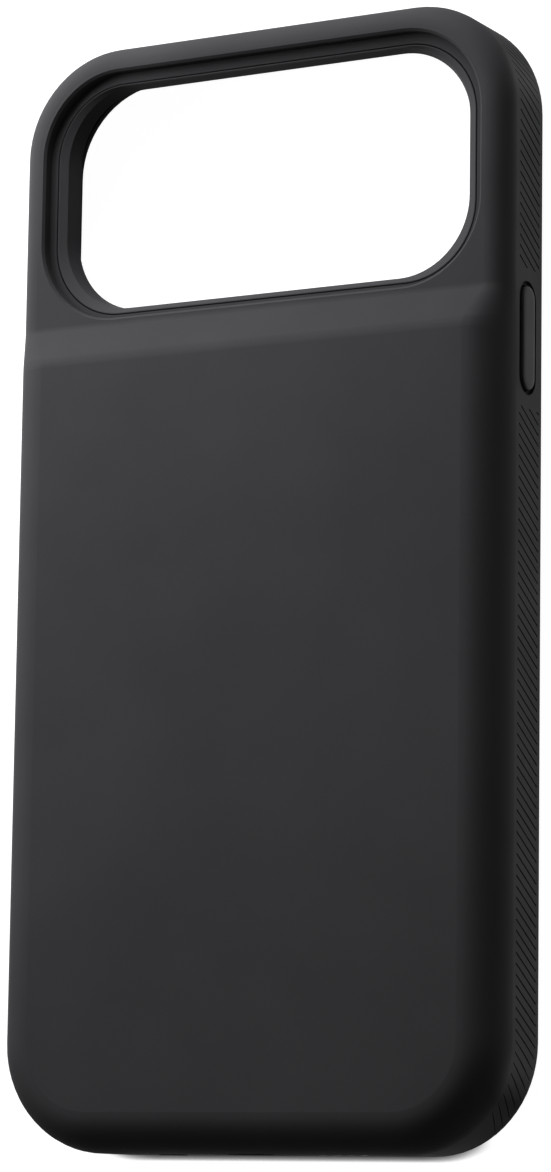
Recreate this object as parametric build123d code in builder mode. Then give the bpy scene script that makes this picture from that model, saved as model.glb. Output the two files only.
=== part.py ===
"""Battery case for a phone: soft sleeve with a battery hump, camera window, keys and charging parts.

The case lies on its front rim with its back up. X runs across the case, Y along it towards the
phone's top end, Z from the front rim (0) up to the back. All sizes are in millimetres.
"""

import os
from math import atan, cos, radians, sin, sqrt

from build123d import *

# Sleeve, outside
case_width = 82.0
case_length = 165.8
case_corner = 16.0
hump_height = 16.0
camera_step = 2.2
hump_edge_radius = 5.9
camera_edge_radius = 3.4
rim_bevel_width = 1.2
rim_bevel_height = 1.9

# Ramp from the camera level up to the hump
ramp_gap = 0.6
ramp_run = 6.6
ramp_hollow_radius = 2.0
hump_brow_radius = 4.0
ramp_bend_steps = 2

# Sleeve, walls and phone bay
side_wall = 2.0
top_wall = 2.3
back_wall = 1.5
chin_length = 8.5
lip_thickness = 0.9
lip_overlap = 0.5
bay_height = 8.3
lining_thickness = 0.4

# Camera window in the sleeve, and the bezel ring in it
window_side_margin = 4.33
window_top_margin = 4.17
window_height = 37.95
window_corner = 12.5
window_edge_chamfer = 0.35
ledge_depth = 1.8
ledge_side = 1.3
ledge_top = 1.56
ledge_bottom = 0.82
bezel_gap = 0.08
bezel_flat = 0.2
bezel_face_side = 1.4
bezel_face_top = 0.26
bezel_face_bottom = 1.0
bezel_face_drop = 0.65
bezel_corner = 11.3
neck_taper_side = 0.95
neck_taper_ends = 0.2
neck_corner = 11.0
flange_reach = 1.2
flange_thickness = 1.0

# Keys in the long sides
key_height = 3.9
key_level = 6.5
key_proud = 0.28
key_edge_chamfer = 0.35
key_clearance = 0.25
key_flange_reach = 0.5
key_flange_thickness = 0.5
key_flange_gap = 0.1
key_recess_margin = 0.75
key_recess_depth = 0.6
key_web = 0.4
key_pocket_room = 0.2
side_key_length = 15.1
side_key_from_top = 49.8
volume_key_length = 10.0
volume_key_pitch = 14.0
volume_keys_from_top = 50.8

# Grip grooves of the long sides, which run on round the corners and get shallower there
groove_pitch = 1.53
groove_width = 0.3
groove_depth = 0.28
groove_rise = 0.1
groove_slant = 31.0
grip_level = 6.0
grip_height = 6.4
grip_key_margin = 1.9
grip_corner_reach = 13.5
groove_corner_lift = 0.1

# Tray that closes the battery pocket
tray_thickness = 1.0
tray_ledge = 2.4
tray_gap = 0.15
tray_top_margin = 1.2
tray_foot_margin = 1.0
lining_gap = 0.3
lining_top_overlap = 0.6
lining_top_bevel = 3.0
pocket_side_margin = 6.0
pocket_brow_gap = 0.4
pocket_foot_ledge = 1.0

# Battery cell and its circuit
tape_thickness = 0.2
tape_width = 12.0
tape_spacing = 36.0
tape_end_margin = 6.0
cell_side_gap = 4.0
cell_end_gap = 2.0
cell_swell_gap = 0.4
cell_edge_round = 1.2
protection_width = 40.0
protection_depth = 3.4
protection_thickness = 0.8
protection_gap = 0.6
protection_board_gap = 1.0
tab_width = 4.0
tab_spacing = 16.0
tab_thickness = 0.2
lead_radius = 0.45
lead_spacing = 2.4
lead_x = -14.0

# Connector room in the chin
room_half_width = 21.3
room_inner_half_width = 19.5
room_front_wall = 2.3
room_bay_wall = 1.2
room_step_gap = 0.3
cover_thickness = 1.2
cover_sink = 0.3
cover_gap = 0.15
cover_ledge = 0.9

# Boards
connector_board_thickness = 0.8
connector_board_side_gap = 0.3
connector_board_depth = 4.4
connector_board_gap = 0.3
control_board_lift = 0.7
control_board_thickness = 0.8
control_board_side_gap = 2.0
control_board_depth = 14.5
control_board_gap = 0.5
board_tab_x = 13.5
board_tab_width = 11.0
board_tab_reach = 6.8
boss_size = 4.0
boss_inset = 3.5
screw_radius = 0.6
screw_head_radius = 1.3
screw_head_height = 0.7
screw_bite = 1.4
screw_hole_gap = 0.15
screw_thread_gap = 0.05
pin_size = 0.6
pin_pitch = 1.6
pin_count = 6
pin_inset = 1.3

# Parts on the control board
chip_size = 5.0
chip_height = 0.9
chip_x = 9.0
inductor_size = 7.0
inductor_roof_gap = 0.4
inductor_boss_gap = 4.0
capacitor_length = 2.0
capacitor_width = 1.25
capacitor_height = 1.2
capacitor_pitch = 2.6
capacitor_count = 4
capacitor_x = -2.0
socket_width = 6.0
socket_depth = 3.5
socket_roof = 0.3
socket_inset = 0.2

# Plug for the phone
plug_width = 8.25
plug_height = 2.4
plug_reach = 6.6
plug_root = 2.3
plug_wall = 0.25
plug_core_wall = 0.4
plug_core_mouth = 5.2
plug_core_sink = 0.3
plug_hole_gap = 0.2
plug_fit_gap = 0.03
collar_width = 13.0
collar_depth = 4.0
collar_top_wall = 0.85
collar_foot_wall = 0.75

# Charging port
port_width = 8.94
port_height = 3.2
port_length = 6.3
port_sink = 0.6
port_wall = 0.3
port_floor = 0.8
port_hole_gap = 0.15
tongue_width = 6.7
tongue_thickness = 0.7
tongue_length = 4.4

# Charge display on the bottom end
button_length = 5.0
button_height = 2.2
button_x = -14.0
button_proud = 0.2
button_clearance = 0.2
button_flange_reach = 0.6
button_flange_thickness = 0.4
button_flange_gap = 0.1
button_switch_gap = 0.35
switch_width = 5.0
switch_depth = 2.75
switch_height = 1.8
lamp_count = 4
lamp_pitch = 2.2
lamp_first_x = 10.5
lamp_width = 1.2
lamp_depth = 1.2
lamp_height = 1.2
guide_width = 1.2
guide_height = 0.8
guide_gap = 0.05

# Places that follow from the sizes above
camera_height = hump_height - camera_step
half_width = case_width / 2
half_length = case_length / 2
bay_half_width = half_width - side_wall
bay_top_y = half_length - top_wall
bay_foot_y = chin_length - half_length
bay_length = bay_top_y - bay_foot_y
bay_centre_y = (bay_top_y + bay_foot_y) / 2
bay_corner = case_corner - side_wall
bay_ceiling = lip_thickness + bay_height
pocket_floor = bay_ceiling + tray_thickness
pocket_ceiling = hump_height - back_wall
foot_wall_y = back_wall - half_length

window_width = case_width - 2 * window_side_margin
window_top_y = half_length - window_top_margin
window_foot_y = window_top_y - window_height
ledge_level = camera_height - ledge_depth
seam_width = window_width - 2 * ledge_side
seam_top_y = window_top_y - ledge_top
seam_foot_y = window_foot_y + ledge_bottom
seam_height = seam_top_y - seam_foot_y
seam_y = (seam_top_y + seam_foot_y) / 2
seam_corner = window_corner - (ledge_top + ledge_bottom) / 2

ramp_start_y = window_foot_y - ramp_gap
ramp_end_y = ramp_start_y - ramp_run
bend_excess = 2 * (ramp_hollow_radius + hump_brow_radius) - camera_step
ramp_half_tangent = (ramp_run - sqrt(ramp_run**2 - camera_step * bend_excess)) / bend_excess
ramp_angle = 2 * atan(ramp_half_tangent)

bezel_top_y = seam_top_y - bezel_face_top
bezel_foot_y = seam_foot_y + bezel_face_bottom
bezel_width = seam_width - 2 * bezel_face_side
bezel_height = bezel_top_y - bezel_foot_y
bezel_y = (bezel_top_y + bezel_foot_y) / 2

side_key_y = half_length - side_key_from_top
volume_keys_y = half_length - volume_keys_from_top
key_flange_x = half_width - key_recess_depth - key_web - key_flange_gap
key_pocket_depth = side_wall - key_recess_depth - key_web
long_side_keys = {
    "side_key": (1, side_key_y, side_key_length),
    "volume_up_key": (-1, volume_keys_y + volume_key_pitch / 2, volume_key_length),
    "volume_down_key": (-1, volume_keys_y - volume_key_pitch / 2, volume_key_length),
}
key_zones = {
    1: (side_key_y, side_key_length),
    -1: (volume_keys_y, volume_key_pitch + volume_key_length),
}
key_zone_margin = key_recess_margin + grip_key_margin

straight_length = case_length - 2 * case_corner
groove_count = int((straight_length + 2 * grip_corner_reach) / groove_pitch)
groove_places = [groove_pitch * (step - (groove_count - 1) / 2) for step in range(groove_count)]
groove_length = grip_height / cos(radians(groove_slant))
groove_mouth = groove_width / 2 * (1 + groove_rise / groove_depth)

tray_width = 2 * (half_width - pocket_side_margin + tray_ledge)
tray_top_y = seam_foot_y - flange_reach - tray_top_margin
tray_foot_y = bay_foot_y + tray_foot_margin
tray_length = tray_top_y - tray_foot_y
tray_y = (tray_top_y + tray_foot_y) / 2
lining_top_y = tray_top_y + lining_top_overlap
lining_foot_y = bay_foot_y + lining_gap
pocket_width = 2 * (half_width - pocket_side_margin)
pocket_end_y = ramp_end_y - pocket_brow_gap
pocket_foot_y = tray_foot_y + pocket_foot_ledge
pocket_length = pocket_end_y - pocket_foot_y
pocket_y = (pocket_end_y + pocket_foot_y) / 2

control_board_width = pocket_width - 2 * control_board_side_gap
control_board_level = pocket_floor + control_board_lift
control_board_top = control_board_level + control_board_thickness
control_board_foot_y = pocket_foot_y + control_board_gap
control_board_top_y = control_board_foot_y + control_board_depth
control_board_y = control_board_foot_y + control_board_depth / 2
boss_x = control_board_width / 2 - boss_inset
inductor_x = boss_x - inductor_boss_gap - inductor_size / 2
inductor_height = pocket_ceiling - inductor_roof_gap - control_board_top
pins_y = control_board_foot_y - board_tab_reach + pin_inset

cell_width = pocket_width - 2 * cell_side_gap
cell_level = pocket_floor + tape_thickness
cell_thickness = pocket_ceiling - cell_swell_gap - cell_level
cell_top_y = pocket_end_y - cell_end_gap
cell_foot_y = control_board_top_y + protection_board_gap + protection_depth + protection_gap
cell_length = cell_top_y - cell_foot_y
cell_y = (cell_top_y + cell_foot_y) / 2
tab_z = cell_level + cell_thickness / 2
protection_top_y = cell_foot_y - protection_gap
protection_y = protection_top_y - protection_depth / 2
protection_level = tab_z - protection_thickness
lead_z = tab_z + lead_radius
socket_height = lead_z + lead_radius + socket_roof - control_board_top

room_foot_y = room_front_wall - half_length
room_top_y = bay_foot_y - room_bay_wall
room_length = room_top_y - room_foot_y
room_y = (room_top_y + room_foot_y) / 2
cover_level = cover_sink + cover_thickness
cover_seat_width = 2 * (room_half_width + cover_ledge)
cover_seat_length = room_length + cover_ledge
plug_z = lip_thickness + (bay_height - lining_thickness) / 2
connector_board_level = plug_z + plug_height / 2 + collar_top_wall
connector_board_top = connector_board_level + connector_board_thickness
connector_board_width = 2 * (room_half_width - connector_board_side_gap)
connector_board_top_y = room_top_y - connector_board_gap
connector_board_foot_y = connector_board_top_y - connector_board_depth
connector_board_y = connector_board_top_y - connector_board_depth / 2

collar_drop = plug_height + collar_top_wall + collar_foot_wall
plug_root_y = room_top_y - plug_root
plug_tip_y = bay_foot_y + plug_reach
port_z = connector_board_top + port_height / 2
port_mouth_y = port_sink - half_length
button_z = connector_board_top + switch_height / 2
lamp_z = connector_board_top + lamp_height / 2
upper_room_level = button_z - button_height / 2 - button_flange_reach - room_step_gap
button_flange_y = foot_wall_y + button_flange_gap
switch_face_y = button_flange_y + button_flange_thickness + button_switch_gap
lamp_places = [lamp_first_x + lamp_pitch * step for step in range(lamp_count)]


def cross_plane(y: float) -> Plane:
    """Plane across the case at a place along it, with X to the right and Z up."""
    return Plane(origin=(0, y, 0), x_dir=(1, 0, 0), z_dir=(0, -1, 0))


def facing_top(y: float) -> Plane:
    """Plane across the case whose normal points towards the phone's top end."""
    return Plane(origin=(0, y, 0), x_dir=(-1, 0, 0), z_dir=(0, 1, 0))


def side_plane(x: float, side: int) -> Plane:
    """Plane along a long side, with its normal pointing out of the case."""
    return Plane(origin=(side * x, 0, 0), x_dir=(0, side, 0), z_dir=(side, 0, 0))


def groove_plane(side: int, along: float) -> Plane:
    """Plane across a grip groove at its lower end, with X pointing out of the case.

    The place along the grip is measured round the case, from the middle of a long side.
    """
    end = 1 if along > 0 else -1
    straight = min(abs(along), straight_length / 2)
    turn = (abs(along) - straight) / case_corner
    out = Vector(side * cos(turn), end * sin(turn), 0)
    ahead = Vector(-side * end * sin(turn), cos(turn), 0)
    axis = ahead * sin(radians(groove_slant)) + Vector(0, 0, cos(radians(groove_slant)))
    bend_centre = Vector(side * (half_width - case_corner), end * straight, grip_level)
    middle = bend_centre + out * (case_corner + turn * groove_corner_lift)
    return Plane(origin=middle - axis * (groove_length / 2), x_dir=out, z_dir=axis)


def ramp_section(turn: float, on_brow: bool) -> tuple[float, float]:
    """Place along the case and height of the back, for a turn angle on the ramp's hollow or brow."""
    if on_brow:
        y = ramp_end_y + hump_brow_radius * sin(turn)
        return y, hump_height - hump_brow_radius * (1 - cos(turn))
    y = ramp_start_y - ramp_hollow_radius * sin(turn)
    return y, camera_height + ramp_hollow_radius * (1 - cos(turn))


# The ramp as a short hollow, a straight slope and the brow, each through a few stations
ramp_turns = [ramp_angle * step / ramp_bend_steps for step in range(ramp_bend_steps + 1)]
ramp_hollow = [ramp_section(turn, False) for turn in ramp_turns]
ramp_brow = [ramp_section(turn, True) for turn in reversed(ramp_turns)]
ramp_slope = [ramp_hollow[-1], ramp_brow[0]]
ramp_stretches = [(ramp_hollow, False), (ramp_slope, True), (ramp_brow, False)]

os.makedirs("parts", exist_ok=True)

# Outer sleeve: the two levels of the back as rounded blocks, with a lofted ramp between them
with BuildPart() as camera_block:
    with BuildSketch():
        RectangleRounded(case_width, case_length, case_corner)
    extrude(amount=camera_height)
    fillet(camera_block.faces().sort_by(Axis.Z)[-1].edges(), camera_edge_radius)
    split(bisect_by=facing_top(ramp_start_y), keep=Keep.TOP)

with BuildPart() as hump_block:
    with BuildSketch():
        RectangleRounded(case_width, case_length, case_corner)
    extrude(amount=hump_height)
    fillet(hump_block.faces().sort_by(Axis.Z)[-1].edges(), hump_edge_radius)
    split(bisect_by=facing_top(ramp_end_y), keep=Keep.BOTTOM)

with BuildPart() as ramp_block:
    for ramp_stretch, is_straight in ramp_stretches:
        for station_y, station_height in ramp_stretch:
            rise = (station_height - camera_height) / camera_step
            edge_radius = camera_edge_radius + rise * (hump_edge_radius - camera_edge_radius)
            with BuildSketch(cross_plane(station_y)) as section:
                with Locations((0, station_height / 2)):
                    Rectangle(case_width, station_height)
                fillet(section.vertices().group_by(Axis.Y)[-1], edge_radius)
        loft(ruled=is_straight)

# Room in the chin above the connector board, with its foot edge rounded like the case outside
with BuildPart() as upper_room:
    with BuildSketch(Plane.XY.offset(upper_room_level)):
        with Locations((0, (foot_wall_y + room_top_y) / 2)):
            Rectangle(2 * room_inner_half_width, room_top_y - foot_wall_y)
    extrude(amount=pocket_ceiling - upper_room_level)
    with BuildSketch(Plane.XY.offset(pocket_floor)):
        with Locations((0, (foot_wall_y + pocket_foot_y) / 2)):
            Rectangle(2 * room_inner_half_width, pocket_foot_y - foot_wall_y)
    extrude(amount=pocket_ceiling - pocket_floor)
    foot_edge = upper_room.edges().filter_by(Axis.X).group_by(Axis.Z)[-1].sort_by(Axis.Y)[0]
    fillet(foot_edge, hump_edge_radius - back_wall)

# What the V shaped grip grooves take away, which stops short of the keys
with BuildPart() as grip_cutters:
    for side, (zone_y, zone_length) in key_zones.items():
        with BuildSketch(*[groove_plane(side, along) for along in groove_places]):
            Polygon(
                (-groove_depth, 0), (groove_rise, -groove_mouth), (groove_rise, groove_mouth), align=None
            )
        extrude(amount=groove_length)
        with Locations((side * half_width, zone_y, grip_level)):
            Box(side_wall, zone_length + 2 * key_zone_margin, groove_length, mode=Mode.SUBTRACT)

with BuildPart() as outer_sleeve:
    add(camera_block.part)
    add(hump_block.part)
    add(ramp_block.part)
    # Bevel round the front rim
    rim_face = outer_sleeve.faces().sort_by(Axis.Z)[0]
    chamfer(rim_face.edges(), rim_bevel_width, rim_bevel_height, reference=rim_face)
    # Camera window down to its ledge, with a soft edge
    with BuildSketch(Plane.XY.offset(ledge_level)):
        with Locations((0, window_top_y - window_height / 2)):
            RectangleRounded(window_width, window_height, window_corner)
    extrude(amount=ledge_depth, mode=Mode.SUBTRACT)
    chamfer(outer_sleeve.edges(Select.LAST).group_by(Axis.Z)[-1], window_edge_chamfer)
    # Phone bay and its mouth, which leaves a lip round the phone's screen
    with BuildSketch(Plane.XY.offset(lip_thickness)):
        with Locations((0, bay_centre_y)):
            RectangleRounded(2 * bay_half_width, bay_length, bay_corner)
    extrude(amount=bay_height, mode=Mode.SUBTRACT)
    with BuildSketch():
        with Locations((0, bay_centre_y)):
            RectangleRounded(
                2 * (bay_half_width - lip_overlap),
                bay_length - 2 * lip_overlap,
                bay_corner - lip_overlap,
            )
    extrude(amount=lip_thickness, mode=Mode.SUBTRACT)
    # Hole for the bezel, and the seat of its flange
    with BuildSketch(Plane.XY.offset(bay_ceiling)):
        with Locations((0, seam_y)):
            RectangleRounded(seam_width, seam_height, seam_corner)
    extrude(amount=ledge_level - bay_ceiling, mode=Mode.SUBTRACT)
    with BuildSketch(Plane.XY.offset(bay_ceiling)):
        with Locations((0, seam_y)):
            RectangleRounded(
                seam_width + 2 * flange_reach,
                seam_height + 2 * flange_reach,
                seam_corner + flange_reach,
            )
    extrude(amount=flange_thickness, mode=Mode.SUBTRACT)
    # Seat of the tray, and the battery pocket behind it
    with BuildSketch(Plane.XY.offset(bay_ceiling)):
        with Locations((0, tray_y)):
            Rectangle(tray_width, tray_length)
    extrude(amount=tray_thickness, mode=Mode.SUBTRACT)
    with BuildSketch(Plane.XY.offset(pocket_floor)):
        with Locations((0, pocket_y)):
            Rectangle(pocket_width, pocket_length)
    extrude(amount=pocket_ceiling - pocket_floor, mode=Mode.SUBTRACT)
    # Connector room in the chin: seat of its cover, the room up to the board's seat, the room above
    with BuildSketch():
        with Locations((0, room_y)):
            Rectangle(cover_seat_width, cover_seat_length)
    extrude(amount=cover_level, mode=Mode.SUBTRACT)
    with BuildSketch(Plane.XY.offset(cover_level)):
        with Locations((0, room_y)):
            Rectangle(2 * room_half_width, room_length)
    extrude(amount=connector_board_top - cover_level, mode=Mode.SUBTRACT)
    add(upper_room.part, mode=Mode.SUBTRACT)
    # Way of the phone plug into the bay
    with BuildSketch(facing_top(room_top_y)):
        with Locations((0, plug_z)):
            SlotOverall(plug_width + 2 * plug_hole_gap, plug_height + 2 * plug_hole_gap)
    extrude(amount=room_bay_wall, mode=Mode.SUBTRACT)
    # Charging port, status button and light guides through the bottom end wall
    with BuildSketch(cross_plane(room_foot_y)):
        with Locations((0, port_z)):
            SlotOverall(port_width + 2 * port_hole_gap, port_height + 2 * port_hole_gap)
        with Locations((button_x, button_z)):
            SlotOverall(button_length + 2 * button_clearance, button_height + 2 * button_clearance)
        with Locations(*[(x, lamp_z) for x in lamp_places]):
            Rectangle(guide_width + 2 * guide_gap, guide_height + 2 * guide_gap)
    extrude(amount=room_front_wall, mode=Mode.SUBTRACT)
    # Key openings: a recess outside, a hole through the web and a pocket for the flange inside
    for side, key_y, key_length in long_side_keys.values():
        with BuildSketch(side_plane(half_width - key_recess_depth, side)):
            with Locations((side * key_y, key_level)):
                SlotOverall(key_length + 2 * key_recess_margin, key_height + 2 * key_recess_margin)
        extrude(amount=key_recess_depth, mode=Mode.SUBTRACT)
        with BuildSketch(side_plane(bay_half_width, side)):
            with Locations((side * key_y, key_level)):
                SlotOverall(key_length + 2 * key_clearance, key_height + 2 * key_clearance)
        extrude(amount=side_wall, mode=Mode.SUBTRACT)
        with BuildSketch(side_plane(bay_half_width, side)):
            with Locations((side * key_y, key_level)):
                pocket_margin = key_flange_reach + key_pocket_room
                Rectangle(key_length + 2 * pocket_margin, key_height + 2 * pocket_margin)
        extrude(amount=key_pocket_depth, mode=Mode.SUBTRACT)
    # Slanted grip grooves
    add(grip_cutters.part, mode=Mode.SUBTRACT)

# Bezel ring of the camera window: sloped face, tapered neck and a flange behind the sleeve
with BuildPart() as camera_bezel:
    with BuildSketch(Plane.XY.offset(bay_ceiling)):
        with Locations((0, seam_y)):
            RectangleRounded(
                seam_width - 2 * bezel_gap, seam_height - 2 * bezel_gap, seam_corner - bezel_gap
            )
    extrude(amount=ledge_level - bay_ceiling)
    flange_growth = flange_reach - bezel_gap
    with BuildSketch(Plane.XY.offset(bay_ceiling)):
        with Locations((0, seam_y)):
            RectangleRounded(
                seam_width + 2 * flange_growth,
                seam_height + 2 * flange_growth,
                seam_corner + flange_growth,
            )
    extrude(amount=flange_thickness)
    flat_inset = bezel_gap + bezel_flat
    with BuildSketch(Plane.XY.offset(ledge_level)):
        with Locations((0, seam_y)):
            RectangleRounded(
                seam_width - 2 * flat_inset, seam_height - 2 * flat_inset, seam_corner - flat_inset
            )
    with BuildSketch(Plane.XY.offset(ledge_level - bezel_face_drop)):
        with Locations((0, bezel_y)):
            RectangleRounded(bezel_width, bezel_height, bezel_corner)
    loft(mode=Mode.SUBTRACT)
    with BuildSketch(Plane.XY.offset(ledge_level - bezel_face_drop)):
        with Locations((0, bezel_y)):
            RectangleRounded(bezel_width, bezel_height, bezel_corner)
    with BuildSketch(Plane.XY.offset(bay_ceiling)):
        with Locations((0, bezel_y)):
            RectangleRounded(
                bezel_width - 2 * neck_taper_side, bezel_height - 2 * neck_taper_ends, neck_corner
            )
    loft(mode=Mode.SUBTRACT)


def press_key(side: int, key_y: float, key_length: float) -> Part:
    """Key of a long side: a pill shaped cap through the wall, on a wider flange inside it."""
    with BuildPart() as key:
        with BuildSketch(side_plane(key_flange_x, side)):
            with Locations((side * key_y, key_level)):
                SlotOverall(key_length, key_height)
        extrude(amount=half_width + key_proud - key_flange_x)
        cap_face = key.faces().sort_by(Axis.X)[-1 if side > 0 else 0]
        chamfer(cap_face.edges(), key_edge_chamfer)
        with BuildSketch(side_plane(key_flange_x, side)):
            with Locations((side * key_y, key_level)):
                Rectangle(key_length + 2 * key_flange_reach, key_height + 2 * key_flange_reach)
        extrude(amount=-key_flange_thickness)
    return key.part


# Tray that closes the battery pocket, with two bosses for the control board
with BuildPart() as inner_tray:
    with BuildSketch(Plane.XY.offset(bay_ceiling)):
        with Locations((0, tray_y)):
            Rectangle(tray_width - 2 * tray_gap, tray_length - 2 * tray_gap)
    extrude(amount=tray_thickness)
    with BuildSketch(Plane.XY.offset(pocket_floor)):
        with Locations((-boss_x, control_board_y), (boss_x, control_board_y)):
            Rectangle(boss_size, boss_size)
    extrude(amount=control_board_lift)
    with Locations(
        (-boss_x, control_board_y, control_board_level), (boss_x, control_board_y, control_board_level)
    ):
        Hole(screw_radius + screw_thread_gap, depth=screw_bite)

# Soft lining on the tray, cut to the bay's outline
with BuildPart() as bay_lining:
    with BuildSketch(Plane.XY.offset(bay_ceiling - lining_thickness)) as lining_sheet:
        with Locations((0, (lining_top_y + lining_foot_y) / 2)):
            Rectangle(2 * (bay_half_width - lining_gap), lining_top_y - lining_foot_y)
        fillet(lining_sheet.vertices().group_by(Axis.Y)[0], bay_corner - lining_gap)
        chamfer(lining_sheet.vertices().group_by(Axis.Y)[-1], lining_top_bevel)
    extrude(amount=lining_thickness)

# Front cover of the connector room
with BuildPart() as chin_cover:
    with BuildSketch(Plane.XY.offset(cover_sink)):
        with Locations((0, room_y)):
            Rectangle(cover_seat_width - 2 * cover_gap, cover_seat_length - 2 * cover_gap)
    extrude(amount=cover_thickness)

# Battery: adhesive strips, pouch cell, protection board, its tabs and its leads
with BuildPart() as battery_tape:
    with BuildSketch(Plane.XY.offset(pocket_floor)):
        with Locations((-tape_spacing / 2, cell_y), (tape_spacing / 2, cell_y)):
            Rectangle(tape_width, cell_length - 2 * tape_end_margin)
    extrude(amount=tape_thickness)

with BuildPart() as battery_cell:
    with BuildSketch(Plane.XY.offset(cell_level)):
        with Locations((0, cell_y)):
            Rectangle(cell_width, cell_length)
    extrude(amount=cell_thickness)
    fillet(battery_cell.edges().filter_by(Axis.Y), cell_edge_round)

with BuildPart() as protection_board:
    with BuildSketch(Plane.XY.offset(protection_level)):
        with Locations((0, protection_y)):
            Rectangle(protection_width, protection_depth)
    extrude(amount=protection_thickness)

with BuildPart() as battery_tabs:
    with BuildSketch(Plane.XY.offset(tab_z)):
        tab_y = (cell_foot_y + protection_y) / 2
        with Locations((-tab_spacing / 2, tab_y), (tab_spacing / 2, tab_y)):
            Rectangle(tab_width, cell_foot_y - protection_y)
    extrude(amount=tab_thickness)

socket_face_y = control_board_top_y - socket_inset

with BuildPart() as battery_leads:
    with BuildSketch(cross_plane(protection_y)):
        with Locations((lead_x - lead_spacing / 2, lead_z), (lead_x + lead_spacing / 2, lead_z)):
            Circle(lead_radius)
    extrude(amount=protection_y - socket_face_y)

# Control board in the hump, with a tab that reaches over the connector board
with BuildPart() as control_board:
    with BuildSketch(Plane.XY.offset(control_board_level)):
        with Locations((0, control_board_y)):
            Rectangle(control_board_width, control_board_depth)
        with Locations((board_tab_x, control_board_foot_y)):
            Rectangle(board_tab_width, 2 * board_tab_reach)
        with Locations((-boss_x, control_board_y), (boss_x, control_board_y)):
            Circle(screw_radius + screw_hole_gap, mode=Mode.SUBTRACT)
    extrude(amount=control_board_thickness)

with BuildPart() as board_screws:
    with BuildSketch(Plane.XY.offset(control_board_top)):
        with Locations((-boss_x, control_board_y), (boss_x, control_board_y)):
            Circle(screw_head_radius)
    extrude(amount=screw_head_height)
    with BuildSketch(Plane.XY.offset(control_board_top)):
        with Locations((-boss_x, control_board_y), (boss_x, control_board_y)):
            Circle(screw_radius)
    extrude(amount=-(control_board_thickness + screw_bite - screw_thread_gap))

with BuildPart() as charger_chip:
    with BuildSketch(Plane.XY.offset(control_board_top)):
        with Locations((chip_x, control_board_y)):
            Rectangle(chip_size, chip_size)
    extrude(amount=chip_height)

with BuildPart() as power_inductor:
    with BuildSketch(Plane.XY.offset(control_board_top)):
        with Locations((inductor_x, control_board_y)):
            Rectangle(inductor_size, inductor_size)
    extrude(amount=inductor_height)

with BuildPart() as capacitors:
    with BuildSketch(Plane.XY.offset(control_board_top)):
        with Locations((capacitor_x, control_board_y)):
            with GridLocations(0, capacitor_pitch, 1, capacitor_count):
                Rectangle(capacitor_length, capacitor_width)
    extrude(amount=capacitor_height)

with BuildPart() as battery_socket:
    with BuildSketch(Plane.XY.offset(control_board_top)):
        with Locations((lead_x, socket_face_y - socket_depth / 2)):
            Rectangle(socket_width, socket_depth)
    extrude(amount=socket_height)

# Connector board in the chin, and the pins between the two boards
with BuildPart() as connector_board:
    with BuildSketch(Plane.XY.offset(connector_board_level)):
        with Locations((0, connector_board_y)):
            Rectangle(connector_board_width, connector_board_depth)
    extrude(amount=connector_board_thickness)

with BuildPart() as link_pins:
    with BuildSketch(Plane.XY.offset(connector_board_top)):
        with Locations((board_tab_x, pins_y)):
            with GridLocations(pin_pitch, 0, pin_count, 1):
                Rectangle(pin_size, pin_size)
    extrude(amount=control_board_level - connector_board_top)

# Plug for the phone: steel shell, moulded core with an open mouth, collar that carries them
with BuildPart() as phone_plug_shell:
    with BuildSketch(facing_top(plug_root_y)):
        with Locations((0, plug_z)):
            SlotOverall(plug_width, plug_height)
            SlotOverall(plug_width - 2 * plug_wall, plug_height - 2 * plug_wall, mode=Mode.SUBTRACT)
    extrude(amount=plug_tip_y - plug_root_y)

with BuildPart() as phone_plug_core:
    core_inset = plug_wall + plug_fit_gap
    mouth_inset = core_inset + plug_core_wall
    core_tip_y = plug_tip_y - plug_core_sink
    with BuildSketch(facing_top(plug_root_y)):
        with Locations((0, plug_z)):
            SlotOverall(plug_width - 2 * core_inset, plug_height - 2 * core_inset)
    extrude(amount=core_tip_y - plug_root_y)
    with BuildSketch(facing_top(core_tip_y)):
        with Locations((0, plug_z)):
            SlotOverall(plug_width - 2 * mouth_inset, plug_height - 2 * mouth_inset)
    extrude(amount=-plug_core_mouth, mode=Mode.SUBTRACT)

with BuildPart() as plug_collar:
    with BuildSketch(facing_top(room_top_y - collar_depth)):
        with Locations((0, connector_board_level - collar_drop / 2)):
            Rectangle(collar_width, collar_drop)
    extrude(amount=collar_depth)
    with BuildSketch(facing_top(plug_root_y)):
        with Locations((0, plug_z)):
            SlotOverall(plug_width + 2 * plug_fit_gap, plug_height + 2 * plug_fit_gap)
    extrude(amount=room_top_y - plug_root_y, mode=Mode.SUBTRACT)

# Charging port: steel shell with a closed back, and the contact tongue in it
with BuildPart() as charging_port_shell:
    with BuildSketch(facing_top(port_mouth_y)):
        with Locations((0, port_z)):
            SlotOverall(port_width, port_height)
    extrude(amount=port_length)
    with BuildSketch(facing_top(port_mouth_y)):
        with Locations((0, port_z)):
            SlotOverall(port_width - 2 * port_wall, port_height - 2 * port_wall)
    extrude(amount=port_length - port_floor, mode=Mode.SUBTRACT)

with BuildPart() as charging_port_tongue:
    with BuildSketch(cross_plane(port_mouth_y + port_length - port_floor)):
        with Locations((0, port_z)):
            Rectangle(tongue_width, tongue_thickness)
    extrude(amount=tongue_length)

# Charge display: button with its switch, lamps and light guides
with BuildPart() as status_button:
    with BuildSketch(cross_plane(button_flange_y)):
        with Locations((button_x, button_z)):
            SlotOverall(button_length, button_height)
    extrude(amount=button_flange_y + half_length + button_proud)
    with BuildSketch(cross_plane(button_flange_y)):
        with Locations((button_x, button_z)):
            Rectangle(button_length + 2 * button_flange_reach, button_height + 2 * button_flange_reach)
    extrude(amount=-button_flange_thickness)

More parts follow.
